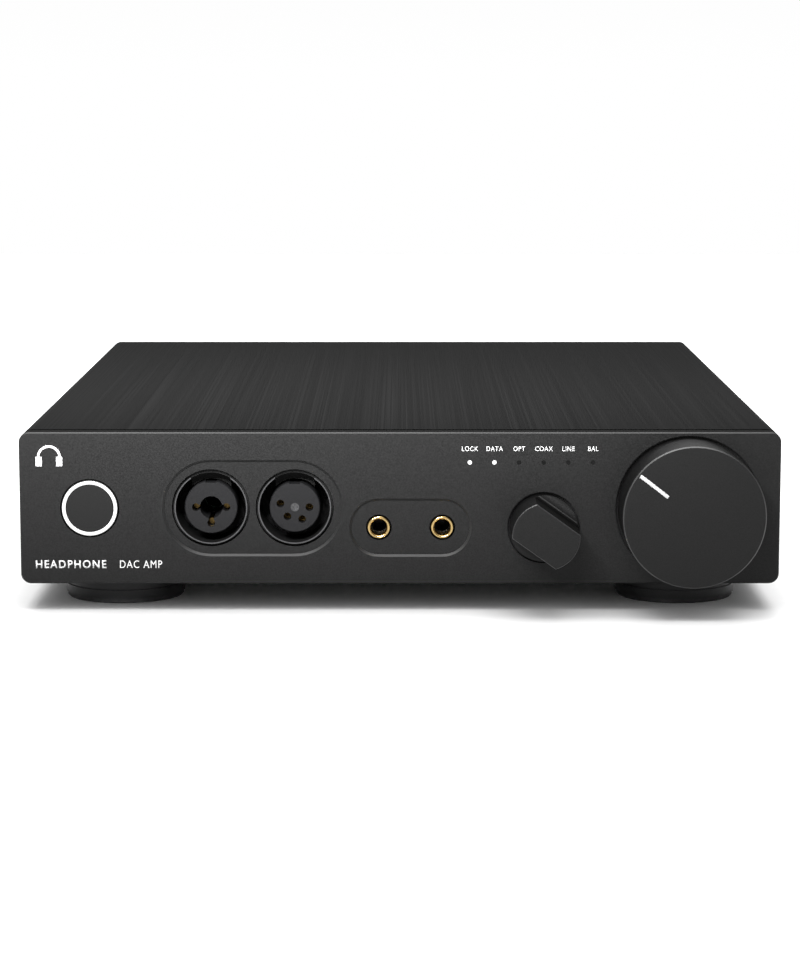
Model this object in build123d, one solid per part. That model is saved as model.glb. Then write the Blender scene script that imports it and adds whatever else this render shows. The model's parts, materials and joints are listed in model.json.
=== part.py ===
from build123d import *
import os

# A desktop DAC and headphone amplifier. Sizes are in millimetres. X runs to the right, Y to the
# back and Z up. The origin is on the table, under the middle of the whole object.

# ---------------------------------------------------------------- driving dimensions: the case
case_width = 224.0
case_height = 45.0
body_depth = 280.0
corner_radius = 3.0
foot_height = 8.0
panel_thickness = 5.3
panel_edge_bevel = 0.3
shadow_gap = 2.0            # between the front panel and the cover
cover_wall = 2.0
cover_lip_width = 10.0      # the cover's flanges under the tray
slide_gap = 0.3             # between the cover and what it slides over
sheet = 1.5                 # tray sheet
tray_side_height = 10.0
frame_thickness = 2.0       # front frame
rear_plate_thickness = 2.0
rear_plate_inset = 1.0      # rear panel's face in front of the cover's rear edge
flange_depth = 10.0         # folded feet of the front frame and rear panel
board_thickness = 1.6
spacer_height = 5.0

# ---------------------------------------------------------------- driving dimensions: fits
running_gap = 0.05          # shaft in its bearing, on the radius
button_gap = 0.2
screw_gap = 0.1
socket_gap = 0.2

# ---------------------------------------------------------------- driving dimensions: screws
screw_radius = 1.5
screw_head_radius = 2.7
screw_head_height = 1.5
cross_width = 0.7
cross_depth = 0.8

# ---------------------------------------------------------------- driving dimensions: front
power_inset = 20.6          # from the case's left side
power_button_radius = 7.1
power_light_wall = 1.05
power_light_proud = 0.2
power_hole_gap = 0.35
power_button_proud = 0.2
power_button_thickness = 4.1
power_stem_radius = 2.0
power_travel = 1.0
power_switch_front = 14.0   # behind the panel's face

round_sockets_inset = 68.6  # middle of the pair, from the left side
round_socket_web = 2.1      # between the two shells
round_pill_margin = 2.85    # from a socket's hole to the edge of the recess
recess_depth = 0.8
recess_chamfer = 0.65

jacks_inset = 115.1
jack_pitch = 18.7
jack_drop = 5.8             # below the middle of the panel
jack_pill_margin = 4.9
jack_bore_radius = 2.25
jack_collar_relief = 0.1    # the collar's bore is this much wider than the barrel's, on the radius
jack_collar_wall = 1.0
jack_hole_gap = 0.45
jack_collar_front = 0.5
jack_barrel_width = 10.0

lamp_count = 6
lit_count = 2
lamps_inset = 91.5          # first lamp, from the case's right side
lamp_pitch = 7.24
lamp_rise = 13.6
lamp_radius = 0.62
lamp_gap = 0.05

selector_inset = 69.7       # from the right side
selector_drop = 5.74
selector_radius = 9.9
selector_well_gap = 0.75
selector_rim = 2.0
selector_reach = 17.5
selector_bevel = 0.2
selector_blade = 12.3
selector_scoop = 3.2
selector_rest_angle = -54.5

volume_inset = 27.0
volume_radius = 20.75
volume_well_gap = 0.8
volume_reach = 18.5
volume_bevel = 0.35
volume_rest_angle = -52.3
pointer_inner = 9.8
pointer_outer = 20.0
pointer_width = 1.0
pointer_depth = 0.4

well_depth = 2.0            # both knobs sit in wells this deep
knob_lift = 1.0             # between a knob's back and the floor of its well
shaft_radius = 3.0
shaft_hole_gap = 1.0
bushing_wall = 1.5
control_width = 24.0
control_depth = 13.0
front_board_at = 24.0       # behind the panel's face

# ---------------------------------------------------------------- driving dimensions: sockets
rim_inner = 10.4            # a balanced plug's nose fits in this
rim_wall = 0.35
socket_wall = 0.9
socket_length = 22.0
rim_height = 1.2
insert_radius = 7.8
four_pole_insert_radius = 7.45
insert_set_back = 1.2
slot_depth = 16.0
latch_half_width = 5.8
latch_set_back = 5.0
key_half_width = 1.6
key_depth = 0.5
big_jack_radius = 3.3
big_jack_slot = 1.5
contact_hole_radius = 1.15
contact_bore_radius = 0.8
contact_set_back = 4.5
contact_length = 8.0
three_pole = [(-4.5, 0.0), (4.5, 0.0), (0.0, -4.7)]
four_pole = [(-4.25, 1.1), (4.3, 0.0), (-2.2, -2.75), (2.15, -3.55)]

# ---------------------------------------------------------------- driving dimensions: rear
rear_reach = 7.5            # furthest socket, behind the cover
mains_inset = 22.0          # from the right side, seen from the front
mains_cavity_width = 24.2
mains_cavity_height = 16.6
mains_wall = 1.8
mains_flange = 1.9          # how far the flange stands out round the body
mains_cavity_depth = 15.0
mains_body_depth = 19.0
mains_pins = [(-7.0, -2.0), (7.0, -2.0), (0.0, 4.0)]
mains_pin_width = 2.0
mains_pin_height = 4.0

data_offset = 26.0          # from the mains inlet towards the middle
data_wall = 1.7
data_cavity_width = 8.5
data_cavity_height = 7.8
data_tongue_width = 5.6
data_tongue_height = 3.2
optical_offset = 42.0
optical_cavity = 8.0
optical_wall = 1.2
flap_thickness = 0.8
flap_pin_radius = 0.5
coax_offset = 57.0
gain_offset = 72.0
gain_knob_radius = 5.0
gain_shaft_radius = 2.0
line_pair_offset = 89.0
line_pair_pitch = 17.0
phono_barrel_radius = 4.15
phono_barrel_wall = 0.45
phono_foot_edge = 1.1       # the barrel's foot stands out this much round it
phono_foot_thickness = 0.8
phono_pin_hole = 1.7
phono_body_width = 12.0

balanced_inset = 16.0       # outermost balanced socket, from the left side
balanced_flange_gap = 1.0   # between neighbouring flanges
balanced_flange_side = 0.7  # the flange's width beyond the shell, on each side
balanced_flange_end = 4.7
balanced_flange_thickness = 2.2
male_wall = 1.7
male_pin_radius = 1.2
tab_width = 7.0
tab_height = 2.4
tab_rise = 1.1              # from the shell up to the tab
tab_reach = 3.4
tab_travel = 1.2

# ---------------------------------------------------------------- driving dimensions: feet
foot_radius = 18.0
foot_inset_side = 28.3
foot_inset_end = 28.0
foot_groove_depth = 0.5
foot_groove_width = 0.6
foot_well_radius = 5.0
pad_edge = 0.4              # the pad's radius is this much less than the foot's
pad_thickness = 1.5
pad_spigot_edge = 2.2
pad_spigot_height = 1.0
foot_screw_radius = 2.0
foot_screw_head_radius = 3.5

# ---------------------------------------------------------------- derived places
half_width = case_width / 2
front_y = volume_reach - (body_depth + volume_reach + rear_reach) / 2
rear_y = front_y + body_depth
bottom_z = foot_height
top_z = foot_height + case_height
mid_z = (bottom_z + top_z) / 2

cover_front_y = front_y + panel_thickness + shadow_gap
inner_half_width = half_width - cover_wall - slide_gap
inner_bottom_z = bottom_z + cover_wall
inner_height = case_height - 2 * (cover_wall + slide_gap)
inner_radius = max(corner_radius - cover_wall - slide_gap, 0.5)
tray_top_z = inner_bottom_z + sheet
frame_back = panel_thickness + frame_thickness
rear_face_y = rear_y - rear_plate_inset
board_z = tray_top_z + spacer_height
board_top_z = board_z + board_thickness

power_light_inner = power_button_radius + button_gap
power_light_outer = power_light_inner + power_light_wall
power_hole_radius = power_light_outer + power_hole_gap

socket_shell_radius = rim_inner + socket_wall
socket_hole_radius = socket_shell_radius + socket_gap
rim_outer = rim_inner + rim_wall
round_socket_pitch = 2 * socket_shell_radius + round_socket_web
round_pill_height = 2 * (socket_hole_radius + round_pill_margin)
round_pill_width = round_socket_pitch + round_pill_height

jack_collar_inner = jack_bore_radius + jack_collar_relief
jack_collar_outer = jack_collar_inner + jack_collar_wall
jack_hole_radius = jack_collar_outer + jack_hole_gap
jack_pill_height = 2 * (jack_hole_radius + jack_pill_margin)
jack_pill_width = jack_pitch + jack_pill_height

selector_well_radius = selector_radius + selector_well_gap
volume_well_radius = volume_radius + volume_well_gap
shaft_hole_radius = shaft_radius + shaft_hole_gap
bushing_radius = shaft_radius + bushing_wall

mains_body_width = mains_cavity_width + 2 * mains_wall
mains_body_height = mains_cavity_height + 2 * mains_wall
mains_flange_width = mains_body_width + 2 * mains_flange
mains_flange_height = mains_body_height + 2 * mains_flange
data_width = data_cavity_width + 2 * data_wall
data_height = data_cavity_height + 2 * data_wall
optical_size = optical_cavity + 2 * optical_wall
phono_bore_radius = phono_barrel_radius - phono_barrel_wall
balanced_flange_width = 2 * (socket_shell_radius + balanced_flange_side)
balanced_flange_height = 2 * (socket_shell_radius + balanced_flange_end)
balanced_pitch = balanced_flange_width + balanced_flange_gap
male_cavity_radius = socket_shell_radius - male_wall
tab_bottom_z = mid_z + socket_shell_radius + tab_rise
pad_radius = foot_radius - pad_edge
pad_spigot_radius = foot_radius - pad_spigot_edge

power_x = power_inset - half_width
round_x = [round_sockets_inset - half_width + side * round_socket_pitch / 2 for side in (-1, 1)]
jack_x = [jacks_inset - half_width + side * jack_pitch / 2 for side in (-1, 1)]
jack_z = mid_z - jack_drop
lamp_x = [half_width - lamps_inset + i * lamp_pitch for i in range(lamp_count)]
lamp_z = mid_z + lamp_rise
selector_x = half_width - selector_inset
selector_z = mid_z - selector_drop
volume_x = half_width - volume_inset

mains_x = half_width - mains_inset
data_x = mains_x - data_offset
optical_x = mains_x - optical_offset
coax_x = mains_x - coax_offset
gain_x = mains_x - gain_offset
line_x = mains_x - line_pair_offset
line_z = [mid_z + side * line_pair_pitch / 2 for side in (-1, 1)]
balanced_x = [balanced_inset - half_width + i * balanced_pitch for i in range(4)]
output_x = balanced_x[:2]
input_x = balanced_x[2:]
phono_places = [(coax_x, mid_z)] + [(line_x, z) for z in line_z]

foot_places = [
    (sx * (half_width - foot_inset_side), y)
    for sx in (-1, 1)
    for y in (front_y + foot_inset_end, rear_y - foot_inset_end)
]

nodes = {}


# ---------------------------------------------------------------- shapes
def front(depth):
    """The plane this far behind the front panel's face."""
    return front_y + depth


def rear(depth):
    """The plane this far inside the rear panel's outer face."""
    return rear_face_y - depth


def block(x0, x1, y0, y1, z0, z1):
    middle = Pos((x0 + x1) / 2, (y0 + y1) / 2, (z0 + z1) / 2)
    return middle * Box(abs(x1 - x0), abs(y1 - y0), abs(z1 - z0))


def block_at(x, z, width, height, y0, y1):
    return block(x - width / 2, x + width / 2, y0, y1, z - height / 2, z + height / 2)


def rod(x, z, y0, y1, radius):
    """A cylinder that lies front to back."""
    return Pos(x, (y0 + y1) / 2, z) * Rot(90, 0, 0) * Cylinder(radius, abs(y1 - y0))


def post(x, y, z0, z1, radius):
    """A cylinder that stands up."""
    return Pos(x, y, (z0 + z1) / 2) * Cylinder(radius, z1 - z0)


def prism(outline, x, z, y0, y1):
    """An outline drawn in X and Z, carried from y0 to y1."""
    return Pos(x, max(y0, y1), z) * Rot(90, 0, 0) * extrude(outline, abs(y1 - y0))


def about_y(x, z, angle):
    """A turn about a front-to-back axis, clockwise as seen from the front."""
    return Pos(x, 0, z) * Rot(0, angle, 0) * Pos(-x, 0, -z)


def keep(name, *pieces):
    """Names a node, which holds one solid or a group of like solids."""
    nodes[name] = [solid for piece in pieces for solid in piece.solids()]


def cross_recess(radius):
    """A cross-head recess, open at the top of a head that ends at Z = 0."""
    arm = Pos(0, 0, -cross_depth / 2) * Box(2 * radius, cross_width, cross_depth)
    return arm + Rot(0, 0, 90) * arm


def standing_screw(x, y, seat_z, shank, up=1):
    """A screw whose head's underside is at seat_z and whose shank points up (or down for -1)."""
    head = Pos(0, 0, screw_head_height / 2) * Cylinder(screw_head_radius, screw_head_height)
    head -= Pos(0, 0, screw_head_height) * cross_recess(0.6 * screw_head_radius)
    body = head + Pos(0, 0, -shank / 2) * Cylinder(screw_radius, shank)
    return Pos(x, y, seat_z) * Rot(180 if up == 1 else 0, 0, 0) * body


def lying_screw(x, z, seat_y, shank, inward=1):
    """A screw whose head's underside is at seat_y and whose shank points back (or forward for -1)."""
    body = standing_screw(0, 0, 0, shank)
    return Pos(x, seat_y, z) * Rot(-90 * inward, 0, 0) * body


# ---------------------------------------------------------------- the case
panel_screw_places = [
    (x, mid_z + side * (case_height / 2 - 8.5))
    for x in (6.0 - half_width, jacks_inset - half_width - 15.0, half_width - 49.0, half_width - 6.0)
    for side in (-1, 1)
]
panel_screw_depth = 2.6
front_flange_screws = [(x, front(frame_back + flange_depth / 2)) for x in (-60.0, 0.0, 60.0)]
rear_flange_screws = [(x, rear(rear_plate_thickness + flange_depth / 2)) for x in (-60.0, 0.0, 60.0)]
cover_screw_places = [
    (sx * (half_width - 5.5), y)
    for sx in (-1, 1)
    for y in (cover_front_y + 25.0, (cover_front_y + rear_y) / 2, rear_y - 25.0)
]
cover_screw_sink = 1.2


def pill_recess(width, height, x, z):
    """A shallow pill-shaped recess with a chamfered lip."""
    lip = extrude(SlotOverall(width, height), recess_chamfer, taper=45)
    lip = Pos(x, front(0), z) * Rot(-90, 0, 0) * lip
    floor_outline = SlotOverall(width - 2 * recess_chamfer, height - 2 * recess_chamfer)
    return lip + prism(floor_outline, x, z, front(0), front(recess_depth))


def front_openings(y0, y1, clearance=0.0):
    """The holes that the sockets, jacks and lamps come through, from y0 to y1."""
    holes = [rod(x, mid_z, y0, y1, socket_hole_radius + clearance) for x in round_x]
    holes += [rod(x, jack_z, y0, y1, jack_hole_radius + clearance) for x in jack_x]
    holes += [rod(x, lamp_z, y0, y1, lamp_radius + lamp_gap + clearance) for x in lamp_x]
    return holes


def front_panel():
    blank = prism(
        RectangleRounded(case_width, case_height, corner_radius), 0, mid_z, front(0), front(panel_thickness)
    )
    blank = chamfer(blank.edges().group_by(Axis.Y)[0], panel_edge_bevel)
    cuts = front_openings(front(0), front(panel_thickness))
    cuts.append(pill_recess(round_pill_width, round_pill_height, sum(round_x) / 2, mid_z))
    cuts.append(pill_recess(jack_pill_width, jack_pill_height, sum(jack_x) / 2, jack_z))
    cuts.append(rod(power_x, mid_z, front(0), front(panel_thickness), power_hole_radius))
    for x, z, radius in (
        (selector_x, selector_z, selector_well_radius),
        (volume_x, mid_z, volume_well_radius),
    ):
        cuts.append(rod(x, z, front(0), front(well_depth), radius))
        cuts.append(rod(x, z, front(0), front(panel_thickness), shaft_hole_radius))
    for x, z in panel_screw_places:
        cuts.append(rod(x, z, front(panel_screw_depth), front(panel_thickness), screw_radius))
    return blank - cuts


def front_frame():
    plate = prism(
        RectangleRounded(2 * inner_half_width, inner_height, inner_radius),
        0, mid_z, front(panel_thickness), front(frame_back),
    )
    foot = block(
        -inner_half_width + 4, inner_half_width - 4,
        front(frame_back), front(frame_back + flange_depth), tray_top_z, tray_top_z + sheet,
    )
    cuts = front_openings(front(panel_thickness), front(frame_back))
    cuts.append(rod(power_x, mid_z, front(panel_thickness), front(frame_back), power_stem_radius + 1))
    for x, z in ((selector_x, selector_z), (volume_x, mid_z)):
        cuts.append(rod(x, z, front(panel_thickness), front(frame_back), bushing_radius))
    for x, z in panel_screw_places:
        cuts.append(rod(x, z, front(panel_thickness), front(frame_back), screw_radius + screw_gap))
    for x, y in front_flange_screws:
        cuts.append(post(x, y, tray_top_z, tray_top_z + sheet, screw_radius))
    return plate + foot - cuts


def top_cover():
    outer = RectangleRounded(case_width, case_height, corner_radius)
    inner = RectangleRounded(
        case_width - 2 * cover_wall, case_height - 2 * cover_wall, max(corner_radius - cover_wall, 0.5)
    )
    shell = prism(outer - inner, 0, mid_z, cover_front_y, rear_y)
    reach = half_width - cover_lip_width
    cuts = [block(-reach, reach, cover_front_y, rear_y, bottom_z, inner_bottom_z)]
    for x, y in cover_screw_places:
        cuts.append(post(x, y, bottom_z, inner_bottom_z, screw_radius + screw_gap))
        cuts.append(post(x, y, bottom_z, bottom_z + cover_screw_sink, screw_head_radius + screw_gap))
    return shell - cuts


def chassis_tray():
    y0, y1 = front(frame_back), rear(rear_plate_thickness)
    floor = block(-inner_half_width, inner_half_width, y0, y1, inner_bottom_z, tray_top_z)
    for sx in (-1, 1):
        outer = sx * inner_half_width
        floor += block(
            outer - sx * sheet, outer, y0 + 12, y1 - 12, inner_bottom_z, inner_bottom_z + tray_side_height
        )
    cuts = [post(x, y, inner_bottom_z, tray_top_z, screw_radius) for x, y in cover_screw_places]
    cuts += [
        post(x, y, inner_bottom_z, tray_top_z, screw_radius + screw_gap)
        for x, y in front_flange_screws + rear_flange_screws
    ]
    cuts += [post(x, y, inner_bottom_z, tray_top_z, foot_screw_radius) for x, y in foot_places]
    inside_cover = RectangleRounded(
        2 * inner_half_width, case_height - 2 * cover_wall, max(corner_radius - cover_wall, 0.5)
    )
    return (floor & prism(inside_cover, 0, mid_z, y0, y1)) - cuts


def rear_panel():
    plate = prism(
        RectangleRounded(2 * inner_half_width, inner_height, inner_radius),
        0, mid_z, rear(0), rear(rear_plate_thickness),
    )
    foot = block(
        -inner_half_width + 4, inner_half_width - 4,
        rear(rear_plate_thickness), rear(rear_plate_thickness + flange_depth),
        tray_top_z, tray_top_z + sheet,
    )
    y0, y1 = rear(0), rear(rear_plate_thickness)
    gap = 2 * socket_gap
    cuts = [
        block_at(mains_x, mid_z, mains_body_width + gap, mains_body_height + gap, y0, y1),
        block_at(data_x, mid_z, data_width + gap, data_height + gap, y0, y1),
        block_at(optical_x, mid_z, optical_size + gap, optical_size + gap, y0, y1),
        rod(gain_x, mid_z, y0, y1, gain_shaft_radius + 1.0),
    ]
    cuts += [rod(x, z, y0, y1, phono_bore_radius + socket_gap) for x, z in phono_places]
    cuts += [rod(x, mid_z, y0, y1, socket_hole_radius) for x in balanced_x]
    cuts += [rod(x, z, y0, y1, screw_radius) for x, z in socket_screw_places()]
    cuts += [post(x, y, tray_top_z, tray_top_z + sheet, screw_radius) for x, y in rear_flange_screws]
    return plate + foot - cuts


def socket_screw_places():
    """Two screws on the diagonal of each balanced socket's flange."""
    dx = balanced_flange_width / 2 - 3.2
    dz = balanced_flange_height / 2 - 3.4
    return [(x + s * dx, mid_z - s * dz) for x in balanced_x for s in (-1, 1)]


keep("front_panel", front_panel())
keep("front_frame", front_frame())
keep("top_cover", top_cover())
keep("chassis_tray", chassis_tray())
keep("rear_panel", rear_panel())
case_screws = [
    lying_screw(x, z, front(frame_back), frame_back - panel_screw_depth, inward=-1)
    for x, z in panel_screw_places
]
case_screws += [
    standing_screw(x, y, inner_bottom_z, 2 * sheet) for x, y in front_flange_screws + rear_flange_screws
]
keep("case_screws", *case_screws)
keep("cover_screws", *[
    standing_screw(x, y, bottom_z + cover_screw_sink, cover_wall - cover_screw_sink + sheet)
    for x, y in cover_screw_places
])


# ---------------------------------------------------------------- the feet
pad_top_z = pad_thickness + pad_spigot_height
foot_seat_z = foot_height - 2.0
foot_groove_z = foot_height / 2


def foot_ring(x, y):
    ring = post(x, y, pad_thickness, inner_bottom_z, foot_radius)
    groove = post(x, y, foot_groove_z, foot_groove_z + foot_groove_width, foot_radius)
    groove -= post(x, y, foot_groove_z, foot_groove_z + foot_groove_width, foot_radius - foot_groove_depth)
    well = post(x, y, pad_thickness, foot_seat_z, foot_well_radius)
    hole = post(x, y, foot_seat_z, inner_bottom_z, foot_screw_radius + screw_gap)
    seat = post(x, y, pad_thickness, pad_top_z, pad_spigot_radius)
    return ring - [groove, well, hole, seat]


def foot_pad(x, y):
    disc = chamfer(post(x, y, 0, pad_thickness, pad_radius).edges().group_by(Axis.Z)[0], 0.4)
    pad = disc + post(x, y, pad_thickness, pad_top_z, pad_spigot_radius)
    return pad - post(x, y, 0, pad_top_z, foot_well_radius + 1)


def foot_screw(x, y):
    head = post(x, y, foot_seat_z - 2.4, foot_seat_z, foot_screw_head_radius)
    head -= Pos(x, y, foot_seat_z - 2.4) * Rot(180, 0, 0) * cross_recess(0.6 * foot_screw_head_radius)
    return head + post(x, y, foot_seat_z, tray_top_z + 1, foot_screw_radius)


keep("foot_rings", *[foot_ring(x, y) for x, y in foot_places])
keep("foot_pads", *[foot_pad(x, y) for x, y in foot_places])
keep("foot_screws", *[foot_screw(x, y) for x, y in foot_places])


# ---------------------------------------------------------------- power button
def power_button():
    face = rod(power_x, mid_z, front(-power_button_proud), front(power_button_thickness - power_button_proud),
               power_button_radius)
    face = chamfer(face.edges().group_by(Axis.Y)[0], 0.25)
    stem_end = power_switch_front + 2.5
    return face + rod(power_x, mid_z, front(1), front(stem_end), power_stem_radius)


def power_ring_light():
    y0, y1 = front(-power_light_proud), front(panel_thickness)
    return rod(power_x, mid_z, y0, y1, power_light_outer) - rod(power_x, mid_z, y0, y1, power_light_inner)


def power_switch():
    body = block_at(power_x, mid_z, 12, 12, front(power_switch_front), front(front_board_at))
    guide = rod(power_x, mid_z, front(power_switch_front), front(power_switch_front + 6),
                power_stem_radius + 2 * running_gap)
    return body - guide


keep("power_button", power_button())
keep("power_ring_light", power_ring_light())
keep("power_switch", power_switch())


# ---------------------------------------------------------------- round sockets
def socket_shell(x, mouth, inward):
    """A barrel with a ring-shaped slot round its insert, closed at the top by the latch housing."""
    start = mouth + inward * rim_height
    floor = mouth + inward * slot_depth
    barrel = rod(x, mid_z, start, mouth + inward * socket_length, socket_shell_radius)
    slot = rod(x, mid_z, start, floor, rim_inner)
    housing = rod(x, mid_z, mouth + inward * latch_set_back, floor, rim_inner)
    housing -= rod(x, mid_z, mouth + inward * latch_set_back, floor, insert_radius + 0.3)
    housing &= block_at(
        x, mid_z + socket_shell_radius / 2, 2 * latch_half_width, socket_shell_radius, start, floor
    )
    return barrel - slot + housing


def socket_rim(x, mouth, inward):
    """A thin bright rim in front of the shell, cut away over the latch."""
    end = mouth + inward * rim_height
    rim = rod(x, mid_z, mouth, end, rim_outer) - rod(x, mid_z, mouth, end, rim_inner)
    return rim - block(x - latch_half_width, x + latch_half_width, mouth, end, mid_z, mid_z + rim_outer + 1)


def socket_insert(x, mouth, inward, holes, radius=insert_radius):
    """The round block in the middle of a socket, with a contact hole for each pole."""
    start = mouth + inward * insert_set_back
    floor = mouth + inward * slot_depth
    core = rod(x, mid_z, start, floor, radius)
    core = chamfer(core.edges().filter_by(GeomType.CIRCLE).sort_by(Axis.Y)[0 if inward > 0 else -1], 0.25)
    key = block(
        x - key_half_width, x + key_half_width, start, floor, mid_z + radius - key_depth, mid_z + radius + 1
    )
    cuts = [key] + [rod(x + dx, mid_z + dz, start, floor, contact_hole_radius) for dx, dz in holes]
    return core - cuts


def socket_contacts(x, mouth, inward, holes):
    """A split-tube contact down each contact hole."""
    y0 = mouth + inward * (insert_set_back + contact_set_back)
    y1 = y0 + inward * contact_length
    contacts = []
    for dx, dz in holes:
        tube = rod(x + dx, mid_z + dz, y0, y1, contact_hole_radius)
        contacts.append(tube - rod(x + dx, mid_z + dz, y0, y1 - inward * 1.5, contact_bore_radius))
    return contacts


front_mouth = front(recess_depth)
rear_mouth = rear(-balanced_flange_thickness - 0.4)
combo_x, four_pole_x = round_x


def combo_bore():
    return rod(combo_x, mid_z, front_mouth, front(front_board_at + board_thickness), big_jack_radius)


def combo_insert():
    """The combined insert: a large jack bore with three contact slots that open into it."""
    core = socket_insert(combo_x, front_mouth, 1, three_pole)
    y0, y1 = front_mouth + insert_set_back, front_mouth + slot_depth
    cuts = [combo_bore()]
    for dx, dz in three_pole:
        half = big_jack_slot / 2
        x0, x1 = sorted((combo_x + dx * 0.6, combo_x + dx)) if dx else (combo_x - half, combo_x + half)
        z0, z1 = sorted((mid_z + dz * 0.6, mid_z + dz)) if dz else (mid_z - half, mid_z + half)
        cuts.append(block(x0, x1, y0, y1, z0, z1))
    return core - cuts


def combo_contacts():
    """Spring contacts that stand in the insert's three slots, clear of the jack bore."""
    y0, y1 = front_mouth + insert_set_back + contact_set_back, front_mouth + slot_depth
    return [rod(combo_x + dx, mid_z + dz, y0, y1, 0.9) for dx, dz in three_pole]


keep("headphone_shells",
     socket_shell(combo_x, front_mouth, 1) - combo_bore(), socket_shell(four_pole_x, front_mouth, 1))
keep("combo_insert", combo_insert())
centre_screw_radius = 1.25
insert_face = front_mouth + insert_set_back


def centre_screw():
    """The screw that holds the insert, just below its face."""
    screw = rod(four_pole_x, mid_z, insert_face + 0.2, insert_face + 4, centre_screw_radius)
    recess = Pos(four_pole_x, insert_face + 0.2, mid_z) * Rot(90, 0, 0) * cross_recess(0.9)
    return screw - recess


centre_hole = rod(four_pole_x, mid_z, front_mouth, insert_face + 4, centre_screw_radius)
four_pole_core = socket_insert(four_pole_x, front_mouth, 1, four_pole, four_pole_insert_radius)
keep("four_pole_insert", four_pole_core - centre_hole)
keep("headphone_contacts", *combo_contacts(), *socket_contacts(four_pole_x, front_mouth, 1, four_pole))
keep("four_pole_screw", centre_screw())
keep("socket_rims", *[socket_rim(x, front_mouth, 1) for x in round_x])


# ---------------------------------------------------------------- small headphone jacks
def jack_collar(x):
    y0, y1 = front(jack_collar_front), front(frame_back)
    return rod(x, jack_z, y0, y1, jack_collar_outer) - rod(x, jack_z, y0, y1, jack_collar_inner)


def jack_barrel(x):
    body = block_at(x, jack_z, jack_barrel_width, jack_barrel_width, front(frame_back), front(front_board_at))
    return body - rod(x, jack_z, front(frame_back), front(front_board_at - 1), jack_bore_radius)


keep("jack_collars", *[jack_collar(x) for x in jack_x])
keep("jack_barrels", *[jack_barrel(x) for x in jack_x])


# ---------------------------------------------------------------- lamps
lamps = [rod(x, lamp_z, front(0), front(front_board_at), lamp_radius) for x in lamp_x]
keep("lit_lamps", *lamps[:lit_count])
keep("unlit_lamps", *lamps[lit_count:])


# ---------------------------------------------------------------- knobs, shafts and controls
knob_back = well_depth - knob_lift
shaft_front = -6.0          # shafts reach this far in front of the panel's face, inside the knobs
shaft_back = frame_back + 8.0
set_screw_radius = 1.5
set_screw_y = -4.0


def shaft_socket(x, z):
    return rod(x, z, front(shaft_front), front(knob_back), shaft_radius)


def selector_knob():
    """A round base with a finger blade whose two sides are scooped down to the base."""
    x, z = selector_x, selector_z
    knob = rod(x, z, front(-selector_reach), front(knob_back), selector_radius)
    side = selector_radius - selector_blade / 2 + 1
    scoop_height = selector_reach - selector_rim + 1
    for sx in (-1, 1):
        profile = Rectangle(side, scoop_height)
        near_edge = profile.vertices().sort_by(Axis.Y)[-2:].sort_by(Axis.X)[0 if sx > 0 else -1]
        profile = fillet(near_edge, min(selector_scoop, 0.9 * side))
        scoop = extrude(profile, 2 * selector_radius + 2, both=True)
        middle_x = sx * (selector_blade / 2 + side / 2)
        knob -= Pos(x + middle_x, front(-selector_rim - scoop_height / 2), z) * scoop
    knob = chamfer(knob.edges().group_by(Axis.Y)[0], selector_bevel)
    knob -= [shaft_socket(x, z), set_screw_hole(x, z, selector_radius + 0.5)]
    return about_y(x, z, selector_rest_angle) * knob


def set_screw_hole(x, z, reach):
    """A radial threaded hole from the shaft out through the knob's underside."""
    return Pos(x - (shaft_radius + reach) / 2, front(set_screw_y), z) * Rot(0, 90, 0) * Cylinder(
        set_screw_radius, reach - shaft_radius
    )


def set_screw(x, z, angle):
    length = 2.4
    body = Pos(x - shaft_radius - length / 2, front(set_screw_y), z) * Rot(0, 90, 0) * Cylinder(
        set_screw_radius, length
    )
    return about_y(x, z, angle) * body


def volume_knob():
    x, z = volume_x, mid_z
    knob = rod(x, z, front(-volume_reach), front(knob_back), volume_radius)
    knob = chamfer(knob.edges().group_by(Axis.Y)[0], volume_bevel)
    knob -= [shaft_socket(x, z), set_screw_hole(x, z, volume_radius + 0.5)]
    return about_y(x, z, volume_rest_angle) * knob - volume_pointer()


def volume_pointer():
    """A white inlay, flush with the knob's face."""
    line = block(
        volume_x - pointer_width / 2, volume_x + pointer_width / 2,
        front(-volume_reach), front(-volume_reach + pointer_depth),
        mid_z + pointer_inner, mid_z + pointer_outer,
    )
    return about_y(volume_x, mid_z, volume_rest_angle) * line


def shaft(x, z):
    return rod(x, z, front(shaft_front), front(shaft_back), shaft_radius)


def control(x, z, width):
    """A rotary control's body with its bushing through the front frame."""
    body = block_at(x, z, width, width, front(frame_back), front(frame_back + control_depth))
    body += rod(x, z, front(panel_thickness), front(frame_back), bushing_radius)
    return body - rod(x, z, front(panel_thickness), front(shaft_back + 0.5), shaft_radius + running_gap)


keep("selector_knob", selector_knob())
keep("selector_shaft", shaft(selector_x, selector_z))
keep("selector_set_screw", set_screw(selector_x, selector_z, selector_rest_angle))
keep("selector_switch", control(selector_x, selector_z, 0.8 * control_width))
keep("volume_knob", volume_knob())
keep("volume_pointer", volume_pointer())
keep("volume_shaft", shaft(volume_x, mid_z))
keep("volume_set_screw", set_screw(volume_x, mid_z, volume_rest_angle))
keep("potentiometer", control(volume_x, mid_z, control_width))


# ---------------------------------------------------------------- rear: mains inlet
def mains_inlet():
    flange_outline = RectangleRounded(mains_flange_width, mains_flange_height, 3)
    body = prism(flange_outline, mains_x, mid_z, rear(-2), rear(0))
    body += block_at(mains_x, mid_z, mains_body_width, mains_body_height, rear(0), rear(mains_body_depth))
    cavity = RectangleRounded(mains_cavity_width, mains_cavity_height, 3)
    body -= prism(cavity, mains_x, mid_z, rear(-2), rear(mains_cavity_depth - 2))
    return body - mains_pin_blades()


def mains_pin_blades():
    return [
        block_at(mains_x + dx, mid_z + dz, mains_pin_width, mains_pin_height, rear(1), rear(mains_body_depth))
        for dx, dz in mains_pins
    ]


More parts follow.
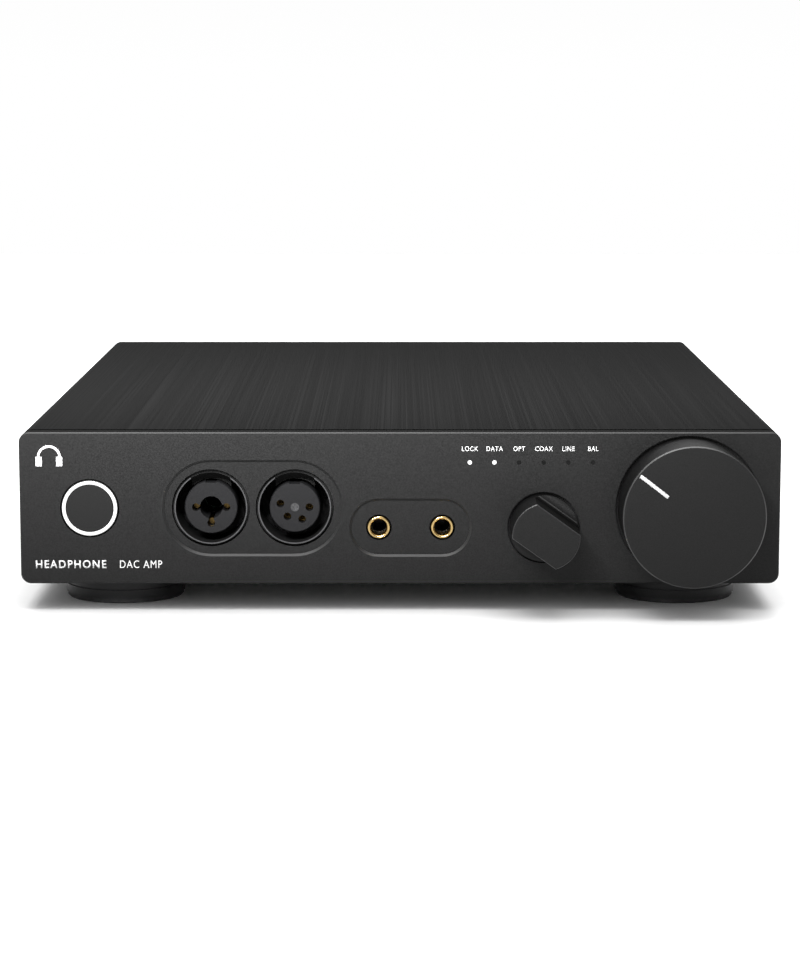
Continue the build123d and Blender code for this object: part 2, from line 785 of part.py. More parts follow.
keep("mains_inlet", mains_inlet())
keep("mains_pins", *mains_pin_blades())


# ---------------------------------------------------------------- rear: data socket
data_depth = 14.0


def data_socket():
    shell = block_at(data_x, mid_z, data_width, data_height, rear(-1), rear(data_depth))
    cavity = block_at(data_x, mid_z, data_cavity_width, data_cavity_height, rear(-1), rear(data_depth - 4))
    return shell - cavity


keep("data_socket", data_socket())
keep("data_tongue", block_at(
    data_x, mid_z, data_tongue_width, data_tongue_height, rear(0.5), rear(data_depth - 4)
))


# ---------------------------------------------------------------- rear: optical socket
optical_mouth = -3.0
flap_axis_depth = optical_mouth + 1.6
flap_axis_z = mid_z + optical_cavity / 2 - 0.8
flap_gap = 0.3


def optical_socket():
    body = block_at(optical_x, mid_z, optical_size, optical_size, rear(optical_mouth), rear(12))
    cavity = block_at(optical_x, mid_z, optical_cavity, optical_cavity, rear(optical_mouth), rear(9))
    pin_holes = Pos(optical_x, rear(flap_axis_depth), flap_axis_z) * Rot(0, 90, 0) * Cylinder(
        flap_pin_radius + running_gap, optical_cavity + 2
    )
    return body - [cavity, pin_holes]


def optical_flap():
    half = optical_cavity / 2 - flap_gap
    y = rear(flap_axis_depth)
    plate = block(
        optical_x - half, optical_x + half, y - flap_thickness / 2, y + flap_thickness / 2,
        mid_z - half, flap_axis_z + flap_thickness / 2,
    )
    pin = Pos(optical_x, y, flap_axis_z) * Rot(0, 90, 0) * Cylinder(flap_pin_radius, optical_cavity + 1.6)
    return plate + pin


keep("optical_socket", optical_socket())
keep("optical_flap", optical_flap())


# ---------------------------------------------------------------- rear: phono sockets
phono_end = -(rear_reach + rear_plate_inset)


def phono_barrel(x, z):
    barrel = rod(x, z, rear(phono_end), rear(0), phono_barrel_radius)
    barrel += rod(x, z, rear(-phono_foot_thickness), rear(0), phono_barrel_radius + phono_foot_edge)
    return barrel - rod(x, z, rear(phono_end), rear(0), phono_bore_radius)


def phono_core(x, z):
    core = rod(x, z, rear(phono_end + 0.4), rear(rear_plate_thickness), phono_bore_radius)
    body = block_at(x, z, phono_body_width, phono_body_width, rear(rear_plate_thickness), rear(13))
    return core + body - rod(x, z, rear(phono_end), rear(6), phono_pin_hole)


keep("phono_barrels", *[phono_barrel(x, z) for x, z in phono_places])
keep("phono_cores", *[phono_core(x, z) for x, z in phono_places])


# ---------------------------------------------------------------- rear: gain switch
gain_knob_height = 5.0
gain_depth = 10.0


def gain_knob():
    knob = rod(gain_x, mid_z, rear(-0.8 - gain_knob_height), rear(-0.8), gain_knob_radius)
    knob = chamfer(knob.edges().group_by(Axis.Y)[-1], 0.4)
    slot = block_at(gain_x, mid_z + gain_knob_radius / 2, 0.8, gain_knob_radius,
                    rear(-0.8 - gain_knob_height), rear(-0.2 - gain_knob_height))
    return knob - slot + rod(gain_x, mid_z, rear(-1), rear(rear_plate_thickness + 6), gain_shaft_radius)


def gain_switch():
    y0 = rear(rear_plate_thickness)
    body = block_at(gain_x, mid_z, 12, 12, y0, rear(rear_plate_thickness + gain_depth))
    return body - rod(gain_x, mid_z, y0, rear(rear_plate_thickness + 6.5), gain_shaft_radius + running_gap)


keep("gain_knob", gain_knob())
keep("gain_switch", gain_switch())


# ---------------------------------------------------------------- rear: balanced sockets
def socket_flange(x):
    """The fixing flange of a balanced socket, outside the rear panel."""
    outline = RectangleRounded(balanced_flange_width, balanced_flange_height, 2.5)
    flange = prism(outline, x, mid_z, rear(-balanced_flange_thickness), rear(0))
    holes = [
        rod(hx, hz, rear(-balanced_flange_thickness), rear(0), screw_radius + screw_gap)
        for hx, hz in socket_screw_places() if abs(hx - x) < balanced_flange_width / 2
    ]
    return flange - holes


def tab_pocket(x):
    z0 = tab_bottom_z - tab_travel - 0.3
    z1 = tab_bottom_z + tab_height + 0.3
    half = tab_width / 2 + 0.3
    return block(x - half, x + half, rear(-balanced_flange_thickness), rear(-0.4), z0, z1)


def input_shell(x):
    flange = socket_flange(x) - rod(x, mid_z, rear_mouth, rear(0), rim_inner)
    start = rear(0)
    barrel = rod(x, mid_z, start, rear_mouth - socket_length, socket_shell_radius)
    barrel -= rod(x, mid_z, start, rear_mouth - slot_depth, rim_inner)
    return flange + barrel - tab_pocket(x)


def release_tab(x):
    tab = block(
        x - tab_width / 2, x + tab_width / 2, rear(-balanced_flange_thickness - tab_reach + 1), rear(-0.7),
        tab_bottom_z, tab_bottom_z + tab_height,
    )
    return chamfer(tab.edges().group_by(Axis.Y)[-1], 0.3)


def output_shell(x):
    end = rear_mouth - socket_length
    shell = socket_flange(x) + rod(x, mid_z, rear(0), end, socket_shell_radius)
    shell -= rod(x, mid_z, rear(-balanced_flange_thickness), rear(12), male_cavity_radius)
    return shell - output_pins(x)


def output_pins(x):
    end = rear_mouth - socket_length
    return [rod(x + dx, mid_z + dz, rear(0), end, male_pin_radius) for dx, dz in three_pole]


keep("input_shells", *[input_shell(x) for x in input_x])
keep("input_inserts", *[socket_insert(x, rear_mouth, -1, three_pole) for x in input_x])
keep("input_contacts", *[c for x in input_x for c in socket_contacts(x, rear_mouth, -1, three_pole)])
keep("release_tab_left", release_tab(input_x[0]))
keep("release_tab_right", release_tab(input_x[1]))
keep("output_shells", *[output_shell(x) for x in output_x])
keep("output_pins", *[pin for x in output_x for pin in output_pins(x)])
keep("socket_screws", *[
    lying_screw(x, z, rear(-balanced_flange_thickness), balanced_flange_thickness + rear_plate_thickness, -1)
    for x, z in socket_screw_places()
])


# ---------------------------------------------------------------- inside: boards
board_margin = 6.0
divide_x = 32.0             # between the main board and the power supply
main_board_edges = (-inner_half_width + board_margin, divide_x, front(front_board_at + 16), rear(14))
power_board_edges = (divide_x + 4, inner_half_width - board_margin, rear(95), rear(20))
corner_inset_x = 5.0
corner_inset_y = 12.0       # clear of the sockets along the rear edge


def board_corners(edges):
    x0, x1, y0, y1 = edges
    return [
        (x, y)
        for x in (x0 + corner_inset_x, x1 - corner_inset_x)
        for y in (y0 + corner_inset_y, y1 - corner_inset_y)
    ]


spacer_places = board_corners(main_board_edges) + board_corners(power_board_edges)


def board(edges):
    holes = [post(x, y, board_z, board_top_z, screw_radius) for x, y in board_corners(edges)]
    return block(*edges, board_z, board_top_z) - holes


def front_board():
    y0, y1 = front(front_board_at), front(front_board_at + board_thickness)
    plate = block(-inner_half_width + 4, inner_half_width - 4, y0, y1, board_z, mid_z + inner_height / 2 - 2)
    return plate - combo_bore()


def spacer(x, y):
    return post(x, y, tray_top_z, board_z, 3.0) - post(x, y, tray_top_z + 1, board_z, screw_radius)


keep("front_board", front_board())
keep("main_board", board(main_board_edges))
keep("power_board", board(power_board_edges))
keep("board_spacers", *[spacer(x, y) for x, y in spacer_places])
keep("board_screws", *[
    standing_screw(x, y, board_top_z, board_thickness + spacer_height - 1.5, up=-1) for x, y in spacer_places
])


# ---------------------------------------------------------------- inside: what the boards carry
def heatsink(x, y, fins=7):
    """A finned cooling block that stands on the board."""
    length, fin, pitch, height = 34.0, 1.6, 4.0, 18.0
    sink = block(x, x + fins * pitch, y, y + length, board_top_z, board_top_z + 4)
    for i in range(fins):
        x0 = x + i * pitch
        sink += block(x0, x0 + fin, y, y + length, board_top_z + 4, board_top_z + height)
    return sink


def toroid(x, y):
    """The mains transformer, wound on a ring."""
    outer, inner, height = 31.0, 9.0, 26.0
    ring = post(x, y, tray_top_z + 1, tray_top_z + 1 + height, outer)
    ring = fillet(ring.edges().filter_by(GeomType.CIRCLE), 5)
    return ring - post(x, y, tray_top_z + 1, tray_top_z + 1 + height, inner)


def clamp(x, y):
    """The transformer's pressure plate and bolt."""
    top = tray_top_z + 27
    plate = post(x, y, top, top + 1.5, 20) + post(x, y, tray_top_z, top, 3)
    return plate + post(x, y, top + 1.5, top + 5, 5)


transformer_x = (power_board_edges[0] + power_board_edges[1]) / 2
transformer_y = power_board_edges[2] - 45
main_x0, main_x1, main_y0, main_y1 = main_board_edges
heatsink_y, capacitor_y, can_y = (main_y0 + share * (main_y1 - main_y0) for share in (0.27, 0.53, 0.62))

keep("transformer", toroid(transformer_x, transformer_y))
keep("transformer_clamp", clamp(transformer_x, transformer_y))
keep("heatsinks", *[heatsink(main_x0 + 18 + i * 44, heatsink_y) for i in range(2)])
capacitors = [post(main_x0 + 20 + i * 14, capacitor_y, board_top_z, board_top_z + 18, 5) for i in range(6)]
capacitors += [
    post(power_board_edges[0] + 14 + i * 18, power_board_edges[2] + 26, board_top_z, board_top_z + 22, 8)
    for i in range(3)
]
keep("capacitors", *capacitors)
keep("shield_can", block(main_x0 + 20, main_x0 + 70, can_y, can_y + 35, board_top_z, board_top_z + 7))


# ---------------------------------------------------------------- files
os.makedirs("parts", exist_ok=True)
for name, solids in nodes.items():
    export_step(Compound(children=solids), f"parts/{name}.step")
print(len(nodes), "nodes")
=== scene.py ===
"""Desktop headphone amplifier: finishes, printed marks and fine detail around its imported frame."""

import json
import math

import bmesh
import bpy
from bpy.props import FloatProperty, FloatVectorProperty, PointerProperty
from mathutils import Matrix, Vector


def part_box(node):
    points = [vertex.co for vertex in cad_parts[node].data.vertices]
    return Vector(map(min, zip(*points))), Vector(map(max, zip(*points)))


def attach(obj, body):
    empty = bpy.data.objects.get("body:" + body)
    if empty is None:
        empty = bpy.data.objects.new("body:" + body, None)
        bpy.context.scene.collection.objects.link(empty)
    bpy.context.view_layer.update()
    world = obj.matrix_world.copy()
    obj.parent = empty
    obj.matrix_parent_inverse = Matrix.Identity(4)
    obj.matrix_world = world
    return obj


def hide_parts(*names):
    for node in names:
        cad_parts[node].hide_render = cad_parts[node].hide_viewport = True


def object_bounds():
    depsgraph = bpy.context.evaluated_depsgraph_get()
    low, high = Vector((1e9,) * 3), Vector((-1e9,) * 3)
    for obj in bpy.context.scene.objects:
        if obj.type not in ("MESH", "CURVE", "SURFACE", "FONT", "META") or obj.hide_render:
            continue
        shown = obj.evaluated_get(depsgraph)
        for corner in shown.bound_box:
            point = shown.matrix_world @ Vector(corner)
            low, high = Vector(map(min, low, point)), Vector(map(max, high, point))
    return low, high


bl_info = {
    "name": "Desktop Headphone Amplifier",
    "version": (1, 0, 0),
    "blender": (4, 5, 0),
    "location": "View3D > Sidebar > Amplifier",
    "description": "Finishes, marks, socket detail and studio for a desktop headphone amplifier",
    "category": "Object",
}

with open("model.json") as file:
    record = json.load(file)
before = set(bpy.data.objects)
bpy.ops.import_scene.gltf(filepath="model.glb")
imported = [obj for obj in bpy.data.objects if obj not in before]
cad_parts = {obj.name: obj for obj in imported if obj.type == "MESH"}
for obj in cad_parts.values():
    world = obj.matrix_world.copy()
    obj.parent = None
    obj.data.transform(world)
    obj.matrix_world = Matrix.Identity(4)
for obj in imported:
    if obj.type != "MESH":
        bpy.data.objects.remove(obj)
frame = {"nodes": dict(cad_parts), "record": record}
CAD_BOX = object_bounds()

MM = 0.001
MOUNTS = {mount["name"]: Vector(mount["pos_m"]) for mount in frame["record"]["mounts"]}
PANEL_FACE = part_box("front_panel")[0][1]
REAR_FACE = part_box("rear_panel")[1][1]

# how squarely a face looks to the front or the rear; faces at these slants get painted highlights
# and painted shade
CHAMFER = math.cos(math.radians(45))
SHEARED_END = 1.0
SLANT_TOLERANCE = 0.06

NOISE_RANGE = {"From Min": 0.3, "From Max": 0.7}    # nearly all noise lies between these
MIX_FIRST, MIX_SECOND, MIX_RESULT = 6, 7, 2         # a Mix node's colour sockets
CAPITAL_HEIGHT = 0.729                              # of the built-in letters at size 1
MARK_ROOT = 0.005 * MM                              # printed marks start this far in the panel


def linear(hex_colour):
    """Turns an sRGB hex value into the linear red, green and blue that Blender mixes."""
    levels = [int(hex_colour[i:i + 2], 16) / 255 for i in (0, 2, 4)]
    return tuple(v / 12.92 if v <= 0.04045 else ((v + 0.055) / 1.055) ** 2.4 for v in levels)


def colour(name, hex_colour, description):
    """A colour setting whose default is an sRGB hex value."""
    return FloatVectorProperty(
        name=name, description=description, subtype="COLOR", size=3, min=0, max=1,
        default=linear(hex_colour),
    )


def length(name, millimetres, description):
    """A length setting whose default is in millimetres."""
    return FloatProperty(
        name=name, description=description, unit="LENGTH", min=0, default=millimetres * MM
    )


class AmplifierColours(bpy.types.PropertyGroup):
    """Colours of the amplifier's finishes."""

    panel: colour("Front panel", "242424", "Black dye in the front panel's oxide layer")
    cover: colour("Top cover", "2e2e2e", "Black dye in the brushed cover's oxide layer")
    knob: colour("Knobs", "252525", "Black dye in the knobs' oxide layer")
    button: colour("Power button", "252525", "Black dye in the power button's oxide layer")
    powder: colour("Powder coat", "262627", "Paint on the folded sheet parts")
    moulded: colour("Socket mouldings", "0f0f10", "Glass-filled nylon of the socket inserts")
    light: colour("Lights", "ffffff", "Lit ring and lit lamps")
    print_ink: colour("Printing", "a0a0a0", "Screen-printed marks")


class AmplifierSizes(bpy.types.PropertyGroup):
    """Sizes of the printed and raised marks."""

    ink: length("Ink thickness", 0.03, "How far the printed ink stands off the panel")
    lamp_letters: length("Lamp letters", 1.45, "Height of the capitals over the indicator lamps")
    title_letters: length("Title letters", 2.4, "Height of the capitals at the panel's lower left")
    rear_letters: length("Rear letters", 2.0, "Height of the capitals on the rear panel")
    numeral: length("Contact numerals", 1.05, "Height of the raised numbers beside the contacts")


class AmplifierStudio(bpy.types.PropertyGroup):
    """Camera and light of the studio."""

    distance: length("Camera distance", 827, "From the camera to the front panel, along the floor")
    height: length("Camera height", 158.5, "Of the camera above the floor")
    pitch: FloatProperty(
        name="Camera pitch", description="How far the camera looks down", subtype="ANGLE",
        default=math.radians(8.4),
    )
    lens: FloatProperty(
        name="Lens", description="Focal length in millimetres", unit="CAMERA", min=1, default=104.7
    )
    key_power: FloatProperty(
        name="Key light", description="Power of all the spots on the front", unit="POWER",
        min=0, default=525,
    )
    top_power: FloatProperty(
        name="Overhead light", description="Power of the softbox over the whole", unit="POWER",
        min=0, default=22,
    )
    rim_power: FloatProperty(
        name="Rim light", description="Power of the softbox behind and above", unit="POWER",
        min=0, default=6,
    )
    floor_power: FloatProperty(
        name="Floor light", description="Strength of the light on the floor alone", min=0,
        default=1.1,
    )
    sky: FloatProperty(name="Sky", description="Brightness all round", min=0, default=1.0)


# Nodes


def fill(tree, node, values):
    """Gives a node's inputs their numbers, or links them to other nodes' outputs."""
    for socket, value in values.items():
        if isinstance(value, bpy.types.NodeSocket):
            tree.links.new(value, node.inputs[socket])
        else:
            node.inputs[socket].default_value = value


def add_node(tree, kind, values=None, **settings):
    """Adds a node, sets its own options, and fills its inputs."""
    node = tree.nodes.new(kind)
    for option, value in settings.items():
        setattr(node, option, value)
    fill(tree, node, values or {})
    return node


def new_material(name, values):
    """Starts a material whose shader has constant values on its own sockets."""
    material = bpy.data.materials.new(name)
    material.use_nodes = True
    shader = material.node_tree.nodes["Principled BSDF"]
    fill(material.node_tree, shader, values)
    return material, material.node_tree, shader


def noise_field(tree, size_mm, stretch=(1, 1, 1), detail=3.0):
    """Noise whose bumps are size_mm across, each stretched along the axes."""
    where = add_node(tree, "ShaderNodeTexCoord")
    scale = [1 / (size_mm * MM * s) for s in stretch]
    scaled = add_node(
        tree, "ShaderNodeMapping", {"Vector": where.outputs["Object"], "Scale": scale}
    )
    noise = add_node(
        tree, "ShaderNodeTexNoise",
        {"Vector": scaled.outputs["Vector"], "Scale": 1.0, "Detail": detail},
    )
    return noise.outputs["Fac"]


def painted_light_on_faces(tree, tone, base, gain, slant):
    """Paints light on the faces at one slant: they take the base colour times a gain, a painted
    highlight when the gain is above one and painted shade when it is below.
    """
    surface = add_node(tree, "ShaderNodeNewGeometry")
    split = add_node(tree, "ShaderNodeSeparateXYZ", {"Vector": surface.outputs["True Normal"]})
    slope = add_node(tree, "ShaderNodeMath", {0: split.outputs["Y"]}, operation="ABSOLUTE")
    painted_light_faces = add_node(
        tree, "ShaderNodeMath", {0: slope.outputs[0], 1: slant, 2: SLANT_TOLERANCE},
        operation="COMPARE",
    )
    # painted light: the base colour times the gain, for the faces at the slant
    painted_tone = [min(1, v * gain) for v in base] + [1]
    mixed = add_node(
        tree, "ShaderNodeMix", {0: painted_light_faces.outputs[0], MIX_FIRST: tone, MIX_SECOND: painted_tone},
        data_type="RGBA",
    )
    return mixed.outputs[MIX_RESULT]


def vary(tree, shader, field, base, change, roughness, bump_mm, painted_light_faces=None):
    """Lets a field vary a finish: its colour by a share, its roughness, and its height; a gain and a
    slant, if given, give the faces at that slant painted light: a highlight when the gain is above
    one, shade when below.
    """
    share, rough = (
        add_node(
            tree, "ShaderNodeMapRange",
            {"Value": field, **NOISE_RANGE, "To Min": low, "To Max": high},
        )
        for low, high in ((0, 1), roughness)
    )
    dark = [v * (1 - change) for v in base] + [1]
    bright = [min(1, v * (1 + change)) for v in base] + [1]
    mixed = add_node(
        tree, "ShaderNodeMix",
        {0: share.outputs["Result"], MIX_FIRST: dark, MIX_SECOND: bright}, data_type="RGBA",
    )
    tone = mixed.outputs[MIX_RESULT]
    # painted highlights and painted shade on the faces at one slant
    if painted_light_faces:
        tone = painted_light_on_faces(tree, tone, base, *painted_light_faces)
    bump = add_node(tree, "ShaderNodeBump", {"Height": field, "Distance": bump_mm * MM})
    fill(tree, shader, {
        "Base Color": tone,
        "Roughness": rough.outputs["Result"],
        "Normal": bump.outputs["Normal"],
    })


# Materials


def blasted_anodised_aluminium(base):
    """Aluminium, bead-blasted then anodised black: a soft even sheen with a fine sparkle, and
    painted highlights on its 45° chamfers.
    """
    material, tree, shader = new_material(
        "anodised_aluminium_bead_blasted_painted_highlights", {"Metallic": 1.0, "Specular Tint": (0.3, 0.3, 0.3, 1)}
    )
    # the beads leave 0.1 mm dimples, drawn here as 0.4 mm so that they show
    field = noise_field(tree, 0.4)
    # painted highlight: the 45° chamfers get 2.7 times the base colour, standing in for the light
    # they catch
    vary(tree, shader, field, base, 0.18, (0.42, 0.52), 0.008, painted_light_faces=(2.7, CHAMFER))
    return material


def brushed_anodised_aluminium(base):
    """Aluminium, brushed front to back then anodised black: thin streaks along the cover, and
    painted shade on its end faces.
    """
    material, tree, shader = new_material(
        "anodised_aluminium_brushed_painted_shade", {"Metallic": 1.0, "Specular Tint": (0.15, 0.15, 0.15, 1)}
    )
    # brush lines are 0.1 mm apart, drawn here 0.4 mm apart; 900 times as long, they run
    # the whole depth
    field = noise_field(tree, 0.4, (1, 900, 1))
    # painted shade: the end faces, looking straight to the front or the rear, get a twentieth of the
    # base colour, standing in for shade such as in the slit behind the panel
    vary(tree, shader, field, base, 0.20, (0.40, 0.50), 0.005, painted_light_faces=(0.05, SHEARED_END))
    return material


def satin_anodised_aluminium(base):
    """Aluminium, turned, finely blasted and anodised black: the knobs' smooth satin, with painted
    highlights on its 45° chamfers.
    """
    material, tree, shader = new_material(
        "anodised_aluminium_satin_painted_highlights", {"Metallic": 1.0, "Specular Tint": (0.6, 0.6, 0.6, 1)}
    )
    # fine beads leave 0.08 mm dimples, drawn here as 0.35 mm; painted highlight: the 45° chamfers
    # get four times the base colour, standing in for the light they catch
    field = noise_field(tree, 0.35)
    vary(tree, shader, field, base, 0.12, (0.40, 0.48), 0.006, painted_light_faces=(4.0, CHAMFER))
    return material


def button_aluminium(base):
    """Aluminium, spun with a fine tool and anodised: darker and smoother than the panel."""
    material, tree, shader = new_material(
        "anodised_aluminium_spun", {"Metallic": 1.0, "Specular Tint": (0.3, 0.3, 0.3, 1)}
    )
    vary(tree, shader, noise_field(tree, 0.3), base, 0.06, (0.40, 0.46), 0.003)
    return material


def powder_coat(base):
    """Polyester powder baked on steel sheet: dull black with a fine orange peel."""
    material, tree, shader = new_material("powder_coated_steel", {"IOR": 1.5})
    vary(tree, shader, noise_field(tree, 0.6), base, 0.12, (0.45, 0.60), 0.03)
    return material


def moulded_nylon(base):
    """Glass-filled nylon, moulded in a spark-eroded tool: matte with a faint tooth."""
    material, tree, shader = new_material(
        "nylon_moulded", {"IOR": 1.53, "Specular IOR Level": 0.1}
    )
    vary(tree, shader, noise_field(tree, 0.3), base, 0.15, (0.42, 0.55), 0.015)
    return material


def plain_black_plating(base):
    """Zinc die casting, plated black: smooth, with a slight cloudiness."""
    material, tree, shader = new_material("zinc_plated_black", {"Metallic": 1.0})
    vary(tree, shader, noise_field(tree, 1.5), base, 0.15, (0.30, 0.42), 0.01)
    return material


def metal(name, hex_colour, roughness, size_mm=0.8, stretch=(1, 1, 1), bump_mm=0.004):
    """A bare or plated metal with faint tool marks."""
    material, tree, shader = new_material(name, {"Metallic": 1.0})
    field = noise_field(tree, size_mm, stretch)
    vary(tree, shader, field, linear(hex_colour), 0.06, roughness, bump_mm)
    return material


def plastic(name, hex_colour, roughness, size_mm=0.5, bump_mm=0.01, ior=1.5, shine=0.5):
    """A moulded plastic with a faint texture."""
    material, tree, shader = new_material(name, {"IOR": ior, "Specular IOR Level": shine})
    vary(tree, shader, noise_field(tree, size_mm), linear(hex_colour), 0.12, roughness, bump_mm)
    return material


def screen_ink(base):
    """Two-part ink, screen printed: flat white with a slightly uneven film."""
    material, tree, shader = new_material("epoxy_ink_screen_printed", {"IOR": 1.5})
    vary(tree, shader, noise_field(tree, 0.8), base, 0.04, (0.5, 0.6), 0.003)
    return material


def lit_diffuser(base, strength):
    """Opal acrylic with a lamp behind it: even white light."""
    material, tree, shader = new_material(
        "acrylic_opal_lit", {"Roughness": 0.35, "IOR": 1.49, "Emission Strength": strength}
    )
    field = add_node(
        tree, "ShaderNodeMapRange", {"Value": noise_field(tree, 2.0), **NOISE_RANGE}
    )
    for socket, share in (("Base Color", 0.15), ("Emission Color", 1.0)):
        low, high = ([v * share * level for v in base] + [1] for level in (0.97, 1.0))
        tone = add_node(
            tree, "ShaderNodeMix",
            {0: field.outputs["Result"], MIX_FIRST: low, MIX_SECOND: high}, data_type="RGBA",
        )
        fill(tree, shader, {socket: tone.outputs[MIX_RESULT]})
    return material


def solder_mask():
    """Glass fibre board under green solder mask: copper tracks show through as lighter lines."""
    material, tree, shader = new_material("fibreglass_solder_mask", {"IOR": 1.5})
    where = add_node(tree, "ShaderNodeTexCoord")
    # tracks run 2.5 mm apart, the spacing of most parts' legs
    tracks = add_node(
        tree, "ShaderNodeTexBrick",
        {
            "Vector": where.outputs["Object"], "Color1": (*linear("0e4a2c"), 1),
            "Color2": (*linear("0b3f26"), 1), "Mortar": (*linear("1d6a40"), 1),
            "Scale": 1 / (5 * MM), "Mortar Size": 0.04,
        },
    )
    rough = add_node(
        tree, "ShaderNodeMapRange",
        {"Value": noise_field(tree, 1.0), **NOISE_RANGE, "To Min": 0.25, "To Max": 0.4},
    )
    fill(tree, shader, {
        "Base Color": tracks.outputs["Color"], "Roughness": rough.outputs["Result"],
    })
    return material


def wound_tape():
    """Polyester tape wrapped round a coil: glossy amber in overlapping turns."""
    material, tree, shader = new_material("polyester_tape_wrapped", {"IOR": 1.6})
    field = noise_field(tree, 3.0, (1, 1, 4), 2)
    vary(tree, shader, field, linear("8f6a2c"), 0.25, (0.2, 0.4), 0.1)
    return material


# Building


def dress(material, *nodes):
    """Gives CAD nodes a material in each of their slots."""
    for name in nodes:
        for slot in frame["nodes"][name].material_slots:
            slot.material = material


def place(name, mesh, material, body):
    """Adds a piece that rides on a body, with the material given."""
    piece = bpy.data.objects.new(name, mesh)
    bpy.context.scene.collection.objects.link(piece)
    mesh.materials.append(material)
    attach(piece, body)
    return piece


def lettering(
    text, cap_height, centre, thickness, *,
    rear=False, align="CENTER", weight=0.0, narrow=1.0, spacing=1.08,
):
    """A mesh of upright letters standing on the panel, with its baseline at centre."""
    curve = bpy.data.curves.new(text, "FONT")
    curve.body = text
    curve.align_x = align
    curve.size = 1.0
    curve.offset = weight
    curve.space_character = spacing
    curve.resolution_u = 4
    holder = bpy.data.objects.new(text, curve)
    flat = bpy.data.meshes.new_from_object(holder)
    bpy.data.objects.remove(holder)
    bpy.data.curves.remove(curve)
    size = cap_height / CAPITAL_HEIGHT
    scaled = Matrix.Diagonal((size * narrow, size, size, 1))
    stand = Matrix.Rotation(math.pi / 2, 4, "X")
    face = Matrix.Rotation(math.pi if rear else 0, 4, "Z")
    flat.transform(Matrix.Translation(centre) @ face @ stand @ scaled)
    outward = Vector((0, 1 if rear else -1, 0))
    shape = bmesh.new()
    shape.from_mesh(flat)
    bmesh.ops.remove_doubles(shape, verts=shape.verts, dist=1e-7)
    made = bmesh.ops.extrude_face_region(shape, geom=shape.faces[:])
    moved = [v for v in made["geom"] if isinstance(v, bmesh.types.BMVert)]
    bmesh.ops.translate(shape, verts=moved, vec=outward * thickness)
    bmesh.ops.recalc_face_normals(shape, faces=shape.faces[:])
    shape.to_mesh(flat)
    shape.free()
    return flat


def join_meshes(name, meshes):
    """One mesh from several."""
    shape = bmesh.new()
    for mesh in meshes:
        shape.from_mesh(mesh)
        bpy.data.meshes.remove(mesh)
    joined = bpy.data.meshes.new(name)
    shape.to_mesh(joined)
    shape.free()
    return joined


def prism(outlines, y0, y1):
    """Flat plates standing on the panel: each outline is a loop of (x, z) points."""
    shape = bmesh.new()
    for outline in outlines:
        near = [shape.verts.new((x, y0, z)) for x, z in outline]
        far = [shape.verts.new((x, y1, z)) for x, z in outline]
        count = len(outline)
        shape.faces.new(near)
        shape.faces.new(reversed(far))
        for i in range(count):
            shape.faces.new((near[i], near[(i + 1) % count], far[(i + 1) % count], far[i]))
    bmesh.ops.recalc_face_normals(shape, faces=shape.faces[:])
    mesh = bpy.data.meshes.new("plates")
    shape.to_mesh(mesh)
    shape.free()
    return mesh


def turned(centres, profile, steps=72):
    """Rings turned about front-to-back axes: the profile is a closed loop of (radius, y) points."""
    shape = bmesh.new()
    count = len(profile)
    for x, z in centres:
        rings = []
        for i in range(steps):
            angle = 2 * math.pi * i / steps
            rings.append([
                shape.verts.new((x + r * math.cos(angle), y, z + r * math.sin(angle)))
                for r, y in profile
            ])
        for near, far in zip(rings, rings[1:] + rings[:1]):
            for i in range(count):
                j = (i + 1) % count
                shape.faces.new((near[i], near[j], far[j], far[i]))
    bmesh.ops.recalc_face_normals(shape, faces=shape.faces[:])
    for face in shape.faces:
        face.smooth = True
    mesh = bpy.data.meshes.new("turned")
    shape.to_mesh(mesh)
    shape.free()
    return mesh


def band(inner, outer, front, back):
    """The square profile of a plain ring."""
    return [(inner, back), (outer, back), (outer, front), (inner, front)]


def arc(across, up, radius, start, end, steps):
    """Points along an arc round a centre, from start to end degrees."""
    angles = [math.radians(start + (end - start) * i / steps) for i in range(steps + 1)]
    return [(across + radius * math.cos(a), up + radius * math.sin(a)) for a in angles]


# Operators


class AMPLIFIER_OT_case(bpy.types.Operator):
    """Finishes the panels, the cover and the tray"""

    bl_idname = "amplifier.case"
    bl_label = "Finish the case"

    def execute(self, context):
        colours = context.scene.amplifier_colours
        dress(blasted_anodised_aluminium(colours.panel), "front_panel")
        dress(brushed_anodised_aluminium(colours.cover), "top_cover")
        dress(powder_coat(colours.powder), "chassis_tray", "rear_panel")
        # painted shade: the frame is made dead black, so that the slit between the cover and the
        # panel reads as a shadow
        dress(plastic("powder_coat_black_painted_shade", "040404", (0.8, 0.9), shine=0.05), "front_frame")
        return {"FINISHED"}


class AMPLIFIER_OT_controls(bpy.types.Operator):
    """Finishes the knobs, their shafts and the power button"""

    bl_idname = "amplifier.controls"
    bl_label = "Finish the controls"

    def execute(self, context):
        colours = context.scene.amplifier_colours
        dress(satin_anodised_aluminium(colours.knob), "volume_knob", "selector_knob")
        dress(button_aluminium(colours.button), "power_button")
        # ABS, moulded: even dark grey with a low gloss
        dress(plastic("abs_moulded_gain_knob", "2b2b2d", (0.4, 0.5)), "gain_knob")
        # steel, turned: fine rings across the shaft catch the light
        dress(
            metal("steel_turned", "c3c3c5", (0.2, 0.3), 0.3, (4, 1, 4)),
            "selector_shaft", "volume_shaft",
        )
        # glass-filled PBT, moulded: dull slate grey
        dress(
            plastic("pbt_moulded_controls", "3d3f45", (0.45, 0.6)),
            "power_switch", "selector_switch", "potentiometer", "gain_switch",
        )
        return {"FINISHED"}


